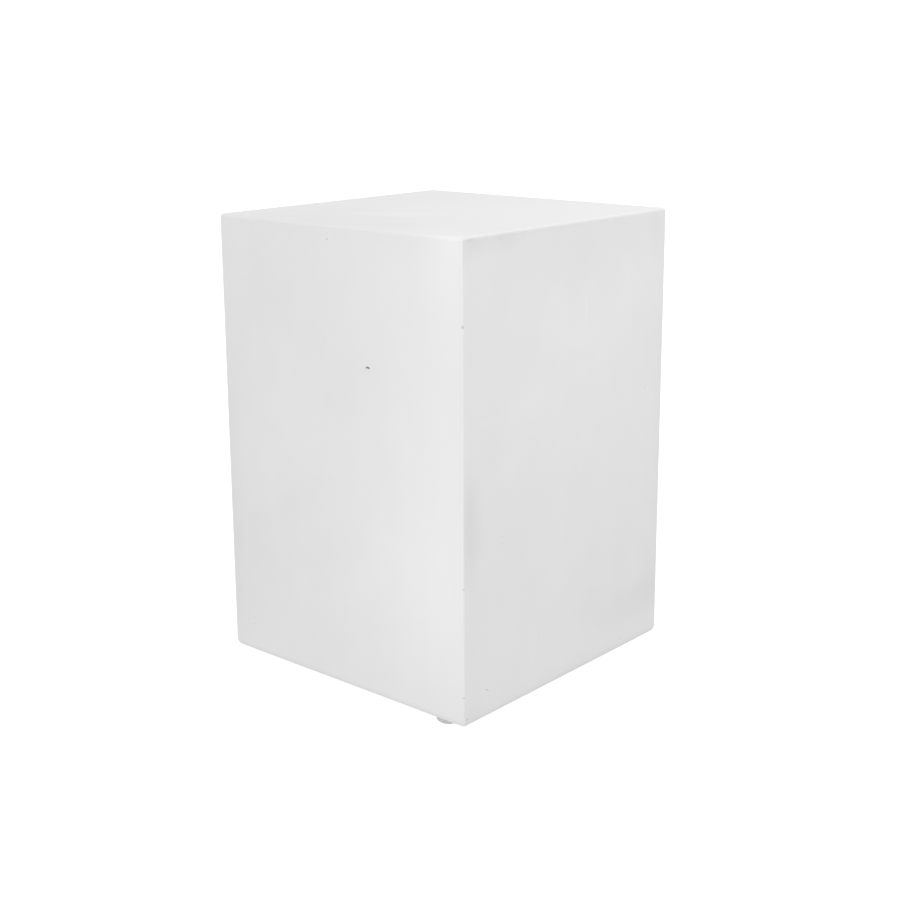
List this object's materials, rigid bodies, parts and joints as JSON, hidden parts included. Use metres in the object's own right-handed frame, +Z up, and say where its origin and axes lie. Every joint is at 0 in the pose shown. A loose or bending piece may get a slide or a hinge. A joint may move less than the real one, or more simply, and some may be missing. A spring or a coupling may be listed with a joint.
{
  "type": "display plinth",
  "caption": "White satin acrylic display plinth: a plain upright square-section box, taller than it is wide, standing on small grey levelling feet.",
  "frame": {"origin": "middle of the footprint, on the floor under the four soles", "axes": "+Z up through the display top, -Y out of the front panel, +X out of the right panel"},
  "size_m": [0.35, 0.35, 0.513],
  "materials": {
    "white_acrylic": "satin",
    "strip_acrylic": "satin",
    "birch_plywood": "satin",
    "zinc_steel": "satin",
    "brass": "satin",
    "grey_nylon": "satin",
    "rubber": "matte"
  },
  "bodies": {
    "plinth": {"top_panel": "white_acrylic", "front_panel": "white_acrylic", "right_panel": "white_acrylic", "back_panel": "white_acrylic", "left_panel": "white_acrylic", "front_left_post": "strip_acrylic", "front_right_post": "strip_acrylic", "back_right_post": "strip_acrylic", "back_left_post": "strip_acrylic", "front_top_rail": "strip_acrylic", "front_base_rail": "strip_acrylic", "right_top_rail": "strip_acrylic", "right_base_rail": "strip_acrylic", "back_top_rail": "strip_acrylic", "back_base_rail": "strip_acrylic", "left_top_rail": "strip_acrylic", "left_base_rail": "strip_acrylic", "base_plate": "birch_plywood", "base_screws": "zinc_steel", "rail_inserts": "brass", "front_left_foot_insert": "zinc_steel", "front_right_foot_insert": "zinc_steel", "back_right_foot_insert": "zinc_steel", "back_left_foot_insert": "zinc_steel"},
    "front_left_pad": {"front_left_foot_pad": "grey_nylon", "front_left_foot_sole": "rubber"},
    "front_left_stem": {"front_left_foot_stem": "zinc_steel"},
    "front_right_pad": {"front_right_foot_pad": "grey_nylon", "front_right_foot_sole": "rubber"},
    "front_right_stem": {"front_right_foot_stem": "zinc_steel"},
    "back_right_pad": {"back_right_foot_pad": "grey_nylon", "back_right_foot_sole": "rubber"},
    "back_right_stem": {"back_right_foot_stem": "zinc_steel"},
    "back_left_pad": {"back_left_foot_pad": "grey_nylon", "back_left_foot_sole": "rubber"},
    "back_left_stem": {"back_left_foot_stem": "zinc_steel"}
  },
  "joints": [
    {"name": "front_left_foot_height", "type": "slide", "parent": "plinth", "child": "front_left_pad", "axis": [0, 0, -1], "range_m": [0, 0.012]},
    {"name": "front_left_foot_turn", "type": "hinge", "parent": "front_left_pad", "child": "front_left_stem", "pos_m": [-0.136, -0.14, 0.008], "axis": [0, 0, -1], "range_deg": [0, 3456]},
    {"name": "front_right_foot_height", "type": "slide", "parent": "plinth", "child": "front_right_pad", "axis": [0, 0, -1], "range_m": [0, 0.012]},
    {"name": "front_right_foot_turn", "type": "hinge", "parent": "front_right_pad", "child": "front_right_stem", "pos_m": [0.136, -0.154, 0.008], "axis": [0, 0, -1], "range_deg": [0, 3456]},
    {"name": "back_right_foot_height", "type": "slide", "parent": "plinth", "child": "back_right_pad", "axis": [0, 0, -1], "range_m": [0, 0.012]},
    {"name": "back_right_foot_turn", "type": "hinge", "parent": "back_right_pad", "child": "back_right_stem", "pos_m": [0.136, 0.14, 0.008], "axis": [0, 0, -1], "range_deg": [0, 3456]},
    {"name": "back_left_foot_height", "type": "slide", "parent": "plinth", "child": "back_left_pad", "axis": [0, 0, -1], "range_m": [0, 0.012]},
    {"name": "back_left_foot_turn", "type": "hinge", "parent": "back_left_pad", "child": "back_left_stem", "pos_m": [-0.136, 0.154, 0.008], "axis": [0, 0, -1], "range_deg": [0, 3456]}
  ],
  "couplings": [
    {"joint": "front_left_foot_turn", "follows": "front_left_foot_height", "rad_per_m": 5026.5},
    {"joint": "front_right_foot_turn", "follows": "front_right_foot_height", "rad_per_m": 5026.5},
    {"joint": "back_right_foot_turn", "follows": "back_right_foot_height", "rad_per_m": 5026.5},
    {"joint": "back_left_foot_turn", "follows": "back_left_foot_height", "rad_per_m": 5026.5}
  ]
}
